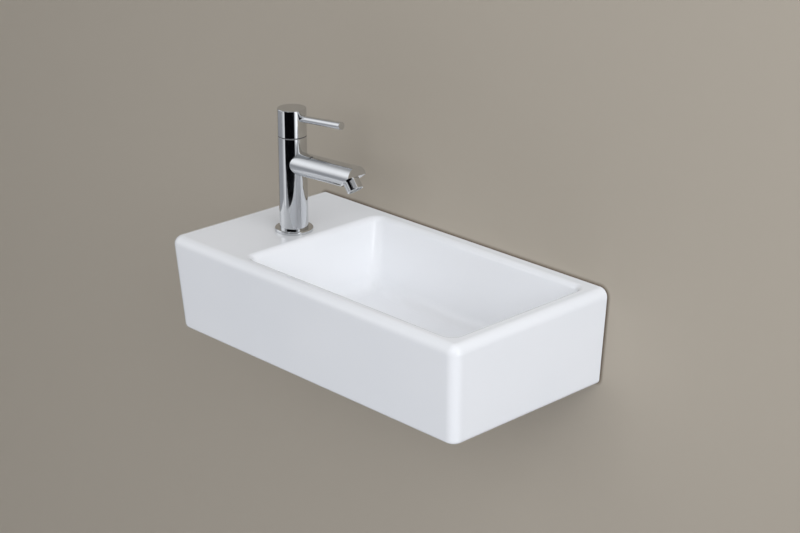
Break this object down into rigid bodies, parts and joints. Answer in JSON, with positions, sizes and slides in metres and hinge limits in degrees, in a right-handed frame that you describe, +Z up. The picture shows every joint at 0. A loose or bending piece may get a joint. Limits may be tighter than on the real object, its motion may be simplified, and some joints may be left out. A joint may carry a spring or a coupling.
{
  "type": "cloakroom basin",
  "caption": "Small rectangular wall-hung hand basin with a bowl, a tap deck at its left end, a quarter-turn cold tap with a fixed spout, a strainer waste and wall studs.",
  "frame": {"origin": "on the wall plane, midway between the axes of the two wall studs", "axes": "+X along the wall to the right, +Y into the wall, +Z up"},
  "size_m": [0.36, 0.228, 0.2345],
  "materials": {
    "glaze": "glossy white glaze",
    "chrome": "polished chrome plate",
    "brass": "machined brass",
    "steel": "bright zinc-plated steel",
    "rubber": "black rubber",
    "plastic": "moulded white plastic",
    "glide_plastic": "dark slippery plastic",
    "disc_ceramic": "lapped ceramic"
  },
  "bodies": {
    "fixed": {"basin": "glaze", "tap_body": "chrome", "tap_base_ring": "chrome", "aerator_housing": "chrome", "waste_flange": "chrome", "tap_shank": "brass", "shank_backnut": "brass", "cartridge_housing": "brass", "waste_tail": "brass", "wall_studs": "steel", "stud_washers": "steel", "stud_nuts": "steel", "shank_steel_washer": "steel", "waste_screw": "steel", "tap_base_gasket": "rubber", "shank_rubber_washer": "rubber", "cartridge_seal_ring": "rubber", "disc_seat_seal": "rubber", "aerator_seal": "rubber", "waste_upper_seal": "rubber", "waste_lower_seal": "rubber", "stud_bushes": "plastic", "aerator_insert": "plastic", "handle_glide_ring": "glide_plastic", "fixed_ceramic_disc": "disc_ceramic"},
    "handle": {"handle_cap": "chrome", "handle_lever": "chrome", "handle_grub_screw": "steel", "valve_spindle": "brass", "spindle_seal_rings": "rubber", "spindle_circlip": "steel", "moving_ceramic_disc": "disc_ceramic"}
  },
  "joints": [
    {"name": "handle_turn", "type": "hinge", "parent": "fixed", "child": "handle", "pos_m": [-0.1134, -0.0926, 0.18], "axis": [0, 0, 1], "range_deg": [0, 90]}
  ]
}
